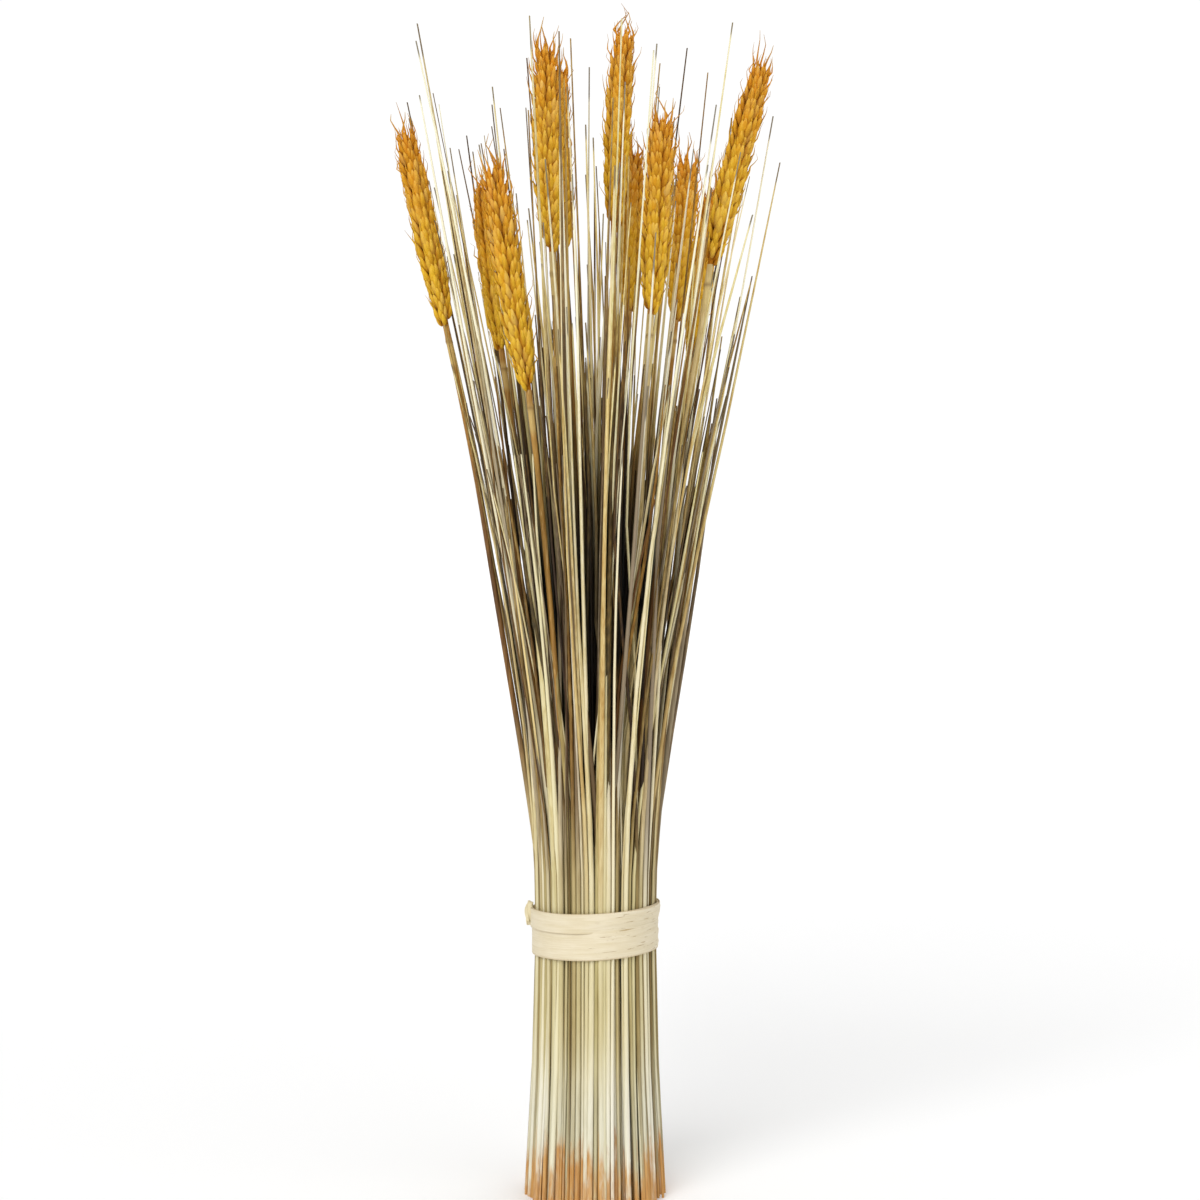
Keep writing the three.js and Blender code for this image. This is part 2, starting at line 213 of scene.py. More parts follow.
class Finish:
    """A material with a Principled shader, to which the pieces' own patterns are wired."""

    def __init__(self, name):
        self.material = bpy.data.materials.new(name)
        self.material.use_nodes = True
        self.tree = self.material.node_tree
        self.tree.nodes.clear()
        self.shader = self.tree.nodes.new("ShaderNodeBsdfPrincipled")
        output = self.tree.nodes.new("ShaderNodeOutputMaterial")
        self.tree.links.new(self.shader.outputs[0], output.inputs["Surface"])

    def node(self, kind, settings=None, output=0, **sockets):
        """Adds a node of a kind, sets it up, feeds its sockets and returns one of its outputs."""
        node = self.tree.nodes.new("ShaderNode" + kind)
        for key, value in (settings or {}).items():
            if key == "stops":
                set_stops(node.color_ramp, value)
            else:
                setattr(node, key, value)
        for key, value in sockets.items():
            feed(self.tree, node.inputs[key.replace("_", " ")], value)
        return Value(self.tree, node.outputs[output])

    def kept(self, name):
        """A number that the mesh keeps at each of its points."""
        return self.node("Attribute", {"attribute_name": name}, "Fac")

    def place(self, across, up, shift=None):
        """A place on the piece, with so many units to the metre across and up, moved aside by a shift."""
        spot = self.node("TexCoord", output="Object")
        parts = self.tree.nodes.new("ShaderNodeSeparateXYZ")
        feed(self.tree, parts.inputs[0], spot)
        x, y, z = (Value(self.tree, part) for part in parts.outputs)
        aside = shift if shift is not None else 0.0
        return self.node("CombineXYZ", X=x * across + aside, Y=y * across, Z=z * up)

    def height(self):
        """The height above the floor."""
        spot = self.node("TexCoord", output="Object")
        return self.node("SeparateXYZ", output="Z", Vector=spot)

    def noise(self, place, detail=2.0, rough=0.5):
        """Cloudy noise from 0 to 1 with one cloud to the unit."""
        return self.node("TexNoise", Vector=place, Scale=1.0, Detail=detail, Roughness=rough)

    def mix(self, factor, a, b, blend="MIX"):
        """One colour over another."""
        node = self.tree.nodes.new("ShaderNodeMix")
        node.data_type, node.blend_type = "RGBA", blend
        for socket, value in zip((node.inputs[0], node.inputs[6], node.inputs[7]), (factor, a, b)):
            feed(self.tree, socket, value)
        return Value(self.tree, node.outputs[2])

    def ramp(self, factor, *stops):
        """A colour for each of these stops of a factor, given as (position, sRGB colour)."""
        return self.node("ValToRGB", {"stops": stops}, Fac=factor)

    def bump(self, height, depth, strength=1.0):
        """A normal that follows a height from 0 to 1, with this depth between them."""
        return self.node("Bump", Height=height, Distance=depth, Strength=strength)

    def surface(self, **sockets):
        """The finished material, with these sockets of its shader fed."""
        for key, value in sockets.items():
            feed(self.tree, self.shader.inputs[key.replace("_", " ")], value)
        return self.material


def set_stops(ramp, stops):
    """Gives a ramp these stops, as (position, sRGB colour)."""
    for i, (position, colour) in enumerate(stops):
        element = ramp.elements[i] if i < len(ramp.elements) else ramp.elements.new(position)
        element.position, element.color = position, (*linear(colour), 1)


# ---- Putting pieces together ----


class Piece:
    """A mesh put together from many small shapes, with numbers at its points that its material reads."""

    def __init__(self, *kept):
        self.mesh = bmesh.new()
        self.kept = {name: self.mesh.verts.layers.float.new(name) for name in kept}

    def add(self, shape, move, **numbers):
        """Adds a copy of a shape. move gives each point's new place and the numbers that differ from point
        to point."""
        before = len(self.mesh.verts)
        self.mesh.from_mesh(shape)
        self.mesh.verts.ensure_lookup_table()
        for vert in self.mesh.verts[before:]:
            vert.co, own = move(vert.co.copy())
            for name, number in (*numbers.items(), *own.items()):
                vert[self.kept[name]] = number

    def finish(self, name, material, slot, *nodes):
        """Makes the object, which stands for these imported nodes."""
        bmesh.ops.recalc_face_normals(self.mesh, faces=self.mesh.faces)
        data = bpy.data.meshes.new(name)
        self.mesh.to_mesh(data)
        self.mesh.free()
        data.materials.append(material)
        made = bpy.data.objects.new(name, data)
        bpy.context.scene.collection.objects.link(made)
        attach(made, "root")
        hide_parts(*nodes)


def shape_of(name, mesh):
    """A bmesh as a mesh that can be added to pieces many times."""
    data = bpy.data.meshes.new(name)
    mesh.to_mesh(data)
    mesh.free()
    return data


def rod_shape(name, sides, rings):
    """A round rod of unit radius with its rings at heights 0, 1, 2 and so on, flat at both ends."""
    mesh = bmesh.new()
    bmesh.ops.create_circle(mesh, cap_ends=True, segments=sides, radius=1)
    top = mesh.faces[:]
    sharp = list(mesh.edges)
    for ring in range(1, rings):
        made = bmesh.ops.extrude_face_region(mesh, geom=top)["geom"]
        if ring > 1:
            bmesh.ops.delete(mesh, geom=top, context="FACES")
        points = [part for part in made if isinstance(part, bmesh.types.BMVert)]
        bmesh.ops.translate(mesh, vec=(0, 0, 1), verts=points)
        top = [part for part in made if isinstance(part, bmesh.types.BMFace)]
    sharp += [edge for face in top for edge in face.edges]
    for face in mesh.faces:
        face.smooth = True
    for edge in sharp:
        edge.smooth = False
    return shape_of(name, mesh)


def husk_shape(name):
    """A husk of unit length and width that points up +Z, with its keel on +X and its beak bent a little
    outwards."""
    mesh = bmesh.new()
    bmesh.ops.create_uvsphere(mesh, u_segments=8, v_segments=7, radius=1)
    for face in mesh.faces:
        face.smooth = True
    for vert in mesh.verts:
        along = (vert.co.z + 1) / 2
        round_ = max(math.hypot(vert.co.x, vert.co.y), 1e-6)
        full = 2.5 * along**0.55 * (1 - along) ** 0.8
        x, y = vert.co.x / round_ * full / 2, vert.co.y / round_ * full / 2
        if x > 0:
            y *= 1 - 0.9 * x
        vert.co = (x + 0.10 * along**3, y, along)
    return shape_of(name, mesh)


def bristle_shape(name, rings):
    """A bristle of unit radius at its root, pointed at its end, with its rings at 0, 1, 2 and so on."""
    mesh = bmesh.new()
    bmesh.ops.create_cone(mesh, segments=4, radius1=1, radius2=0.25, depth=rings - 1, cap_ends=True)
    bmesh.ops.translate(mesh, vec=(0, 0, (rings - 1) / 2), verts=mesh.verts)
    for level in range(1, rings - 1):
        whole = mesh.verts[:] + mesh.edges[:] + mesh.faces[:]
        bmesh.ops.bisect_plane(mesh, geom=whole, plane_co=(0, 0, level), plane_no=(0, 0, 1))
    for face in mesh.faces:
        face.smooth = True
    return shape_of(name, mesh)


def mix(a, b, share):
    """What lies a share of the way from a to b."""
    return a + (b - a) * share


def smooth(low, high, value):
    """0 below low and 1 above high, with a smooth rise between."""
    t = min(1, max(0, (value - low) / (high - low)))
    return t * t * (3 - 2 * t)


def spread(height):
    """The section's size at a height, as a multiple of its size at the waist."""
    flow = bpy.context.scene.wheat_flow
    away = height - flow.waist_height
    flare = flow.crown_flare if away > 0 else flow.foot_flare
    return math.hypot(1, flare * away / flow.waist_radius)


def rods_above(node, height):
    """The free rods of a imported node: for each, its rings above a height as (height, centre)."""
    mesh = bmesh.new()
    mesh.from_mesh(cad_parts[node].data)
    bmesh.ops.remove_doubles(mesh, verts=mesh.verts, dist=0.00002)
    low = [vert for vert in mesh.verts if vert.co.z < height]
    bmesh.ops.delete(mesh, geom=low, context="VERTS")
    rods, seen = [], set()
    for first in mesh.verts:
        if first in seen:
            continue
        group, reached = [], [first]
        seen.add(first)
        while reached:
            vert = reached.pop()
            group.append(vert.co.copy())
            for edge in vert.link_edges:
                other = edge.other_vert(vert)
                if other not in seen:
                    seen.add(other)
                    reached.append(other)
        rods.append(rings_of(group))
    mesh.free()
    return rods


def rings_of(points):
    """Points of a rod gathered into rings of one height, as (height, centre), lowest first."""
    rings = {}
    for point in points:
        rings.setdefault(round(point.z, 3), []).append(point.to_2d())
    return [(height, sum(ring, Vector((0, 0))) / len(ring)) for height, ring in sorted(rings.items())]


def through(rings, height):
    """The centre at a height of a line through rings, straight between them."""
    for (low, a), (high, b) in zip(rings, rings[1:]):
        if height <= high:
            return a.lerp(b, max(0, (height - low) / (high - low)))
    return rings[-1][1].copy()


PASSES = 160  # rounds in which crowded straws are moved apart
PUSH = 0.45  # share of an overlap by which each of the two moves in a round
SWELL = 0.0015  # growth of the whole crowd in a round, which fills the rim


def packed(places, radii, held, rim):
    """Moves crowded places apart until straws of these radii lie side by side inside a rim. Held ones stay
    where they are."""
    spots = numpy.array([tuple(place) for place in places])
    radii = numpy.array(radii)
    free = ~numpy.array(held)
    for _ in range(PASSES):
        apart = spots[:, None] - spots[None]
        distance = numpy.hypot(apart[..., 0], apart[..., 1]) + numpy.eye(len(spots))
        close = numpy.clip(radii[:, None] + radii[None] - distance, 0, None)
        numpy.fill_diagonal(close, 0)
        push = (apart / distance[..., None] * close[..., None]).sum(1) * PUSH
        spots[free] += push[free]
        spots[free] *= 1 + SWELL
        reach = numpy.hypot(spots[:, 0], spots[:, 1])
        over = (reach > rim - radii) & free
        spots[over] *= ((rim - radii) / reach)[over, None]
    return [Vector(spot) for spot in spots]


# ---- Finishes ----

# The numbers that each kind of piece keeps at its points, for its finish to read
STRAW_NUMBERS = ("tone", "hue", "left", "deep", "pale")
STALK_NUMBERS = ("left", "tone", "joint")
HUSK_NUMBERS = ("rise", "along", "tone", "edge", "keel")
STRIP_NUMBERS = ("run", "across", "layer", "side", "worn")


def straw_finish(settings):
    """Dry grass: pale under the tie, browner and streaked above it, golden near the tips and rust-stained at
    the foot, with painted shade that darkens the inner straws above the tie."""
    finish = Finish("dry_grass_straw")
    tone, hue, left, deep, pale = (finish.kept(name) for name in STRAW_NUMBERS)
    height = finish.height()
    streak = finish.noise(finish.place(1500, 14, tone * 37), 3, 0.6)
    patch = finish.noise(finish.place(160, 32, hue * 53), 3, 0.6)
    long_patch = finish.noise(finish.place(120, 9, tone * 71), 2)
    topmost = (height + long_patch * 0.1 - 0.05).step(0.23, 0.37)
    clear = pale * height.step(0.32, 0.37)
    above = (height + long_patch * 0.05 - 0.025).step(0.105, 0.185)
    level = (tone * 0.78 + patch * 0.36 + streak * 0.44 - 0.81) * (1 + above * 0.3)
    shade = (level + clear * 0.24 + 0.5).step(0.0, 1.0)
    low = finish.ramp(
        shade,
        (0.0, "#7c6638"),
        (0.2, "#a5925f"),
        (0.5, "#c6b886"),
        (0.8, "#dbd0a6"),
        (1.0, "#ece4c6"),
    )
    foot = finish.ramp(shade, (0.0, "#988c6c"), (0.3, "#c3bc9d"), (0.65, "#dad6bf"), (1.0, "#ece9da"))
    middle = finish.ramp(
        shade,
        (0.0, "#2a1a09"),
        (0.2, "#6e4f22"),
        (0.42, "#a6884f"),
        (0.62, "#c2a972"),
        (0.8, "#d9c892"),
        (1.0, "#ede2bd"),
    )
    high = finish.ramp(
        shade,
        (0.0, "#46300e"),
        (0.2, "#946f30"),
        (0.45, "#ccb06a"),
        (0.7, "#e6d694"),
        (1.0, "#f9f4d6"),
    )
    grey = finish.ramp(shade, (0.0, "#73664f"), (0.5, "#b1a58c"), (1.0, "#dfd7c4"))
    washed = (0.078 - height + long_patch * 0.03 - 0.015).step(0.0, 0.045)
    colour = finish.mix(washed * 0.85, low, foot)
    colour = finish.mix(above, colour, middle)
    colour = finish.mix(topmost, colour, high)
    colour = finish.mix(hue.step(0.74, 0.84) * above * 0.75 * (1 - deep) * (1 - topmost * 0.5), colour, grey)
    golden = hue.step(0.44, 0.54) * (1 - hue.step(0.56, 0.64)) * above
    gold = finish.ramp(shade, (0.0, "#6b430f"), (0.5, "#bd8d33"), (1.0, "#e3c777"))
    colour = finish.mix(golden * 0.7, colour, gold)
    green = finish.ramp(shade, (0.0, "#4a4118"), (0.5, "#a59a58"), (1.0, "#d8cf94"))
    colour = finish.mix((0.36 - hue).step(0.2, 0.32) * 0.35, colour, green)
    brown = hue.step(0.88, 0.93) * above * (1 - clear)
    colour = finish.mix(brown * 0.8, colour, tuple(settings.brown))
    stain = finish.noise(finish.place(230, 60, hue * 19), 3, 0.6)
    reach = (hue * 0.018 + stain * 0.056 - 0.009 - height).step(0.0, 0.020)
    ochre = finish.mix(streak.step(0.3, 0.7), tuple(settings.rust), linear("#cf9f58"))
    colour = finish.mix(reach * (0.62 + stain * 0.6).step(0.5, 1.0) * 0.95, colour, ochre)
    burnt = (hue * 0.016 + 0.001 - left).step(0.0, 0.004) * (tone + patch * 0.4).step(0.45, 0.6)
    colour = finish.mix(burnt * 0.8, colour, linear("#5b4a36"))
    # Painted shade: straws deep inside the bundle are darkened almost to black between the tie and the crown,
    # where the dense bundle lies in shadow
    dark = deep * (height.step(0.105, 0.15) * (1 - height.step(0.25, 0.35)) * 0.97)
    colour = finish.mix(dark, colour, linear("#150c05"), "MULTIPLY")
    ridges = finish.noise(finish.place(3200, 20, tone * 11), 2)
    rough = 0.52 + streak * 0.25
    normal = finish.bump(ridges * 0.6 + streak * 0.4, 0.00025, 0.7)
    return finish.surface(Base_Color=colour, Roughness=rough, Normal=normal, Specular_IOR_Level=0.35)


def stalk_finish(settings):
    """Wheat stalk: golden brown with darker streaks, a pale sheath near the ear and dark joints."""
    finish = Finish("wheat_stalk")
    left, tone, joint = (finish.kept(name) for name in STALK_NUMBERS)
    height = finish.height()
    streak = finish.noise(finish.place(1300, 10, tone * 41), 3, 0.6)
    patch = finish.noise(finish.place(180, 24, tone * 13), 3)
    shade = (streak * 0.7 + patch * 0.5 - 0.1).step(0.1, 0.9)
    gold = finish.mix(shade, linear("#8a5c20"), tuple(settings.gold))
    gold = finish.mix(streak.step(0.55, 0.75) * 0.5, gold, linear("#dfc586"))
    weathered = finish.ramp(shade, (0.0, "#2e1a0a"), (0.5, "#6f4a1f"), (1.0, "#a67c3e"))
    pale = finish.ramp(shade, (0.0, "#a38a4c"), (0.5, "#d8c68c"), (1.0, "#eee2b8"))
    low = (0.31 - height + patch * 0.06).step(0.0, 0.07) * (1 - tone.step(0.3, 0.4))
    colour = finish.mix(low, gold, weathered)
    colour = finish.mix((height + patch * 0.05).step(0.12, 0.24), pale, colour)
    colour = finish.mix(tone.step(0.6, 0.7) * 0.7, colour, pale)
    sheath = (0.019 - left).step(0.0, 0.004) * (left - 0.004).step(0.0, 0.004)
    colour = finish.mix(sheath * 0.5, colour, linear("#dcc47e"))
    colour = finish.mix(joint * 0.6, colour, tuple(settings.joint))
    normal = finish.bump(streak, 0.00022, 0.7)
    rough = 0.5 + patch * 0.2
    return finish.surface(Base_Color=colour, Roughness=rough, Normal=normal, Specular_IOR_Level=0.4)


def husk_finish(settings):
    """Husks: golden at the base of the ear and rust-orange at its tip, with painted shade at each husk's
    foot, where the one below overlaps it, and on its inner side, ribbed lengthways."""
    finish = Finish("wheat_husk")
    rise, along, tone, edge, keel = (finish.kept(name) for name in HUSK_NUMBERS)
    cloud = finish.noise(finish.place(260, 180), 3, 0.6)
    fine = finish.noise(finish.place(1400, 420), 3, 0.6)
    ripe = (rise + cloud * 0.5 + tone * 0.25 - 0.42).step(0.1, 1.05)
    light = finish.mix(ripe, tuple(settings.gold), tuple(settings.orange))
    # Painted shade: each husk is darker at its foot, where the one below overlaps it, and on its inner side
    # away from its keel, mixed with random tone and fine mottling
    shade = (along * 0.65 + keel * 0.3 + fine * 0.45 + tone * 0.45 - 0.4).step(0.0, 0.85)
    # The husks' colour in that painted shade, from golden to rust as they ripen
    deep = finish.mix(ripe, linear("#a5650c"), linear("#8f4c06"))
    colour = finish.mix(shade, deep, light)
    ribs = finish.noise(finish.place(1500, 110), 2)
    colour = finish.mix(ribs.step(0.42, 0.62) * 0.25, colour, linear("#bb7a18"))
    rim = along.step(0.55, 0.98) * (1 - along.step(0.99, 1.02)) * fine.step(0.35, 0.6)
    colour = finish.mix(rim * 0.35, colour, linear("#f0cf70"))
    colour = finish.mix(edge * 0.3, colour, linear("#f0d27c"))
    end = finish.mix(tone, linear("#9a621c"), linear("#d3ab58"))
    bristle = finish.mix(along.step(1.05, 1.25), light, end)
    colour = finish.mix(along.step(1.0, 1.03), colour, bristle)
    normal = finish.bump(ribs * 0.7 + fine * 0.5, 0.00035, 0.6)
    rough = 0.55 + cloud * 0.25
    return finish.surface(Base_Color=colour, Roughness=rough, Normal=normal, Specular_IOR_Level=0.12)


def raffia_finish(settings):
    """Raffia: cream, with faint fibres along the strip, fine splits where it is worn and a tan line of
    painted shade along its edges."""
    finish = Finish("raffia")
    run, across, layer, side, worn = (finish.kept(name) for name in STRIP_NUMBERS)

    def lengthways(x, y, z):
        return finish.node("CombineXYZ", X=x, Y=y, Z=z)

    fibre = finish.noise(lengthways(run * 11, across * 2400 + run * 3, layer), 4, 0.6)
    wide = finish.noise(lengthways(run * 13, across * 500, layer * 3), 3)
    split = finish.noise(lengthways(run * 17, across * 1300 + run * 9, layer * 5 + 7), 3, 0.6)
    shade = (fibre * 0.7 + wide * 0.5 - 0.1).step(0.0, 0.95)
    colour = finish.mix(shade, linear("#cdbd94"), tuple(settings.cream))
    crack = (0.26 + worn * 0.12 - split).step(0.0, 0.03)
    colour = finish.mix(crack * 0.8, colour, tuple(settings.tan))
    # Painted shade: a tan line along both edges of the strip, standing in for the thin shadow of its edge
    edge_shade = 1 - side.step(0.0, 0.045) * (1 - side).step(0.0, 0.03)
    colour = finish.mix(edge_shade * 0.45, colour, tuple(settings.tan))
    golden = layer.step(4.5, 4.9) * (0.0045 - across).step(0.0, 0.004)
    colour = finish.mix(golden * 0.7, colour, linear("#c99a3e"))
    normal = finish.bump(fibre * 0.3 + wide * 0.5 - crack * 0.5, 0.0003, 0.7)
    rough = 0.5 + fibre * 0.2
    return finish.surface(Base_Color=colour, Roughness=rough, Normal=normal, Specular_IOR_Level=0.4)


# ---- The pieces ----


def node_rings(node):
    """The rings of a packed stalk or ear, from its foot to its tip."""
    return rings_of([vert.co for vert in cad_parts[node].data.vertices])


BEND = 0.135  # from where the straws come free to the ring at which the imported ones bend
PACKED_SHARE = 0.96  # room that a straw takes at the waist, as a share of its radius at the foot
STALK_ROOM = 0.0014  # room that a stalk takes there
CROSSING = (0.003, 0.0075)  # how far apart straws stand that may change places
LONG, LONG_RADIUS = 0.48, 0.00036  # the tallest straws and their radius at that height
TIP_TAPER = 0.0075  # growth of the radius down from a straw's tip
EAR_REACH = 0.007  # half of an ear's width, with a straw beside it


class WHEAT_OT_straws(bpy.types.Operator):
    """Build the fine grass straws of every tuft"""

    bl_idname = "wheat.straws"
    bl_label = "Grass Straws"

    def execute(self, context):
        flow, settings = context.scene.wheat_flow, context.scene.wheat_straw
        dice = random.Random(7)
        tufts = cad_nodes("grass_tuft")
        straws = []
        for node in tufts:
            rods = rods_above(node, flow.packed_top + BEND - 0.1 * MM)
            straws += [(node, rings, dice.choice((0.72, 0.85, 0.98, 1.1, 1.28))) for rings in rods]
            gaps = [pair for pair in zip(rods, rods[1:]) if dice.random() < 0.6]
            straws += [(node, self.between(*pair, dice), dice.uniform(0.42, 0.62)) for pair in gaps]
        places = [rings[0][1] / spread(rings[0][0]) for _, rings, _ in straws]
        stalks = [through(node_rings(node), flow.waist_height) for node in cad_nodes("wheat_stalk")]
        radii = [settings.radius * PACKED_SHARE * size for *_, size in straws] + [STALK_ROOM] * len(stalks)
        held = [False] * len(places) + [True] * len(stalks)
        spots = packed(places + stalks, radii, held, flow.waist_radius)[: len(places)]
        self.cross(spots, dice)
        self.ears = [node_rings(node) for node in cad_nodes("wheat_ear")]
        shape = rod_shape("straw_shape", 6, 10)
        material = straw_finish(settings)
        pieces = {node: Piece(*STRAW_NUMBERS) for node in tufts}
        for (node, rings, size), place, spot in zip(straws, places, spots):
            self.add_straw(pieces[node], shape, rings, size, place, spot, dice)
        for node, piece in pieces.items():
            piece.finish(node.replace("grass_tuft", "straws"), material, "grass_straw", node)
        return {"FINISHED"}

    def between(self, a, b, dice):
        """The rings of a thin straw that runs between two others and ends lower than both."""
        low, top = a[0][0], min(a[-1][0], b[-1][0])
        ends = (low, mix(low + 0.006, top, dice.random()))
        return [(height, through(a, height).lerp(through(b, height), 0.5)) for height in ends]

    def cross(self, spots, dice):
        """Lets some neighbours change places at the waist, so that they cross above it."""
        for i, spot in enumerate(spots):
            near = [j for j, other in enumerate(spots) if CROSSING[0] < (other - spot).length < CROSSING[1]]
            if near and dice.random() < 0.45:
                j = dice.choice(near)
                spots[i], spots[j] = spots[j], spots[i]

    def add_straw(self, piece, shape, rings, size, place, spot, dice):
        """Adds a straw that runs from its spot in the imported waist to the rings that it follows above."""
        flow, settings = bpy.context.scene.wheat_flow, bpy.context.scene.wheat_straw
        top = rings[-1][0]
        free = flow.packed_top
        heights = [0, 0.055, 0.111, 0.135] + [mix(free + 0.012, top, i / 5) for i in range(6)]
        flat = dice.choice((1.0, 0.95, 0.6))
        bow = Vector((dice.gauss(0, 0.5), dice.gauss(0, 0.5))) * settings.bow
        bow_at = dice.uniform(0.8, 1.5)
        lean = Vector((dice.gauss(0, 0.0006), dice.gauss(0, 0.0006)))
        droop = rings[-1][1].normalized() * max(0, dice.gauss(0.0, 0.0035))
        turn = dice.uniform(0, math.tau)
        settle = dice.uniform(0.24, 0.34)

        def centre(height):
            settled = smooth(0.12, settle, height)
            if height < rings[0][0]:
                drawn = place * spread(height)
            else:
                drawn = through(rings, height)
            gone = max(0, (height - free) / (top - free))
            bowed = bow * math.sin(math.pi * min(1, gone) ** bow_at) + droop * gone**3
            below = lean * max(0, (flow.waist_height - height) / flow.waist_height)
            return (spot * spread(height)).lerp(drawn, settled) + bowed + below

        def radius(height):
            taper = mix(settings.radius, LONG_RADIUS, smooth(0, LONG, height)) * size
            return min(taper, settings.tip_radius + (top - height) * TIP_TAPER)

        def move(co):
            height = heights[min(round(co.z), len(heights) - 1)]
            middle = centre(height)
            side = Matrix.Rotation(turn + height * 4, 2) @ Vector((co.x * (1.5 - flat / 2), co.y * flat))
            edge = middle + side * radius(height)
            away = middle.length / (flow.waist_radius * spread(height))
            # How far inside the bundle a straw lies, which the finish turns into painted shade
            numbers = {"left": top - height, "deep": 1 - smooth(0.58, 0.9, away)}
            return edge.to_3d() + Vector((0, 0, height)), numbers

        piece.add(shape, move, tone=dice.random(), hue=dice.random(), pale=self.before_ear(rings))

    def before_ear(self, rings):
        """Whether a straw stands between an ear and someone who looks along +Y."""
        for ear in self.ears:
            for height, middle in ear:
                spot = through(rings, height)
                beside = abs(spot.x - middle.x) < EAR_REACH
                if height < rings[-1][0] and beside and spot.y < middle.y:
                    return True
        return False


LEVELS, SHEATH_LEVELS = 33, 11  # a stalk's rings over its whole length, and more of them at the sheath


class WHEAT_OT_stalks(bpy.types.Operator):
    """Build the wheat stalks, each with its sheath and joints"""

    bl_idname = "wheat.stalks"
    bl_label = "Wheat Stalks"

    def execute(self, context):
        dice = random.Random(21)
        settings = context.scene.wheat_stalk
        material = stalk_finish(settings)
        shape = rod_shape("stalk_shape", 10, LEVELS + SHEATH_LEVELS)
        for number, node in enumerate(cad_nodes("wheat_stalk")):
            rings = node_rings(node)
            top = rings[-1][0]
            joints = [top - dice.uniform(0.006, 0.011), top - dice.uniform(0.12, 0.16)]
            heights = [top * i / LEVELS for i in range(LEVELS)]
            heights = sorted(heights + [top - 0.012 + 0.0012 * i for i in range(SHEATH_LEVELS)])
            piece = Piece(*STALK_NUMBERS)
            bend = Vector((dice.gauss(0, 0.0012), dice.gauss(0, 0.0012)))
            piece.add(shape, self.mover(rings, heights, joints, bend, settings), tone=number * 0.618 % 1)
            piece.finish(node.replace("wheat_stalk", "stalk"), material, "wheat_stalk", node)
        return {"FINISHED"}

    def mover(self, rings, heights, joints, bend, settings):
        """What lays a rod along the stalk's rings, thicker at its joints and in its sheath."""
        top = rings[-1][0]

        def move(co):
            height = heights[min(round(co.z), len(heights) - 1)]
            away = min(abs(height - joint) for joint in joints)
            knob = math.exp(-((away / 0.0009) ** 2))
            left = top - height
            sheath = 0.00022 * (1 - smooth(0.018, 0.022, left))
            radius = mix(settings.radius, settings.neck, height / top) + 0.0003 * knob + sheath
            middle = flowing(rings, height) + bend * math.sin(math.pi * smooth(0.14, top, height))
            point = Vector((middle.x + co.x * radius, middle.y + co.y * radius, height))
            return point, {"left": left, "joint": knob}

        return move


def flowing(rings, height):
    """The centre at a height of a smooth curve through rings."""
    heights = [ring[0] for ring in rings]
    i = min(max(sum(1 for h in heights if h <= height) - 1, 0), len(rings) - 2)

    def slope(j):
        a, b = max(j - 1, 0), min(j + 1, len(rings) - 1)
        return (rings[b][1] - rings[a][1]) / (heights[b] - heights[a])

    span = heights[i + 1] - heights[i]
    t = min(1, max(0, (height - heights[i]) / span))
    start, end = rings[i][1], rings[i + 1][1]
    bent = (start * (1 + 2 * t) * (1 - t) ** 2 + end * (3 - 2 * t) * t * t)
    return bent + (slope(i) * t * (1 - t) ** 2 - slope(i + 1) * t * t * (1 - t)) * span


BRISTLE_RINGS, CORE_RINGS = 5, 7
BRISTLE_RADIUS, BEARD_RADIUS = 0.42 * MM, 0.75 * MM  # at the root, at an ear's side and at its tip
# A spikelet's husks, each with its outward lean, its lean through the ear, its start in mm along
# (out, thick, up) and, as shares, its length, its width and its bristle's length
SPIKELET = (
    (13, 15, (1.3, 1.7, -1.6), 0.78, 0.95, 0.0),
    (13, -15, (1.3, -1.7, -1.6), 0.78, 0.95, 0.0),
    (3, 13, (0.5, 1.75, 1.2), 0.95, 0.95, 0.45),
    (3, -13, (0.5, -1.75, 1.2), 0.95, 0.95, 0.45),
    (13, 7, (1.65, 1.35, 0.3), 1.0, 1.0, 0.8),
    (13, -7, (1.65, -1.35, 0.3), 1.0, 1.0, 0.8),
    (21, 0, (2.15, 0.0, 1.4), 0.98, 0.9, 1.0),
)


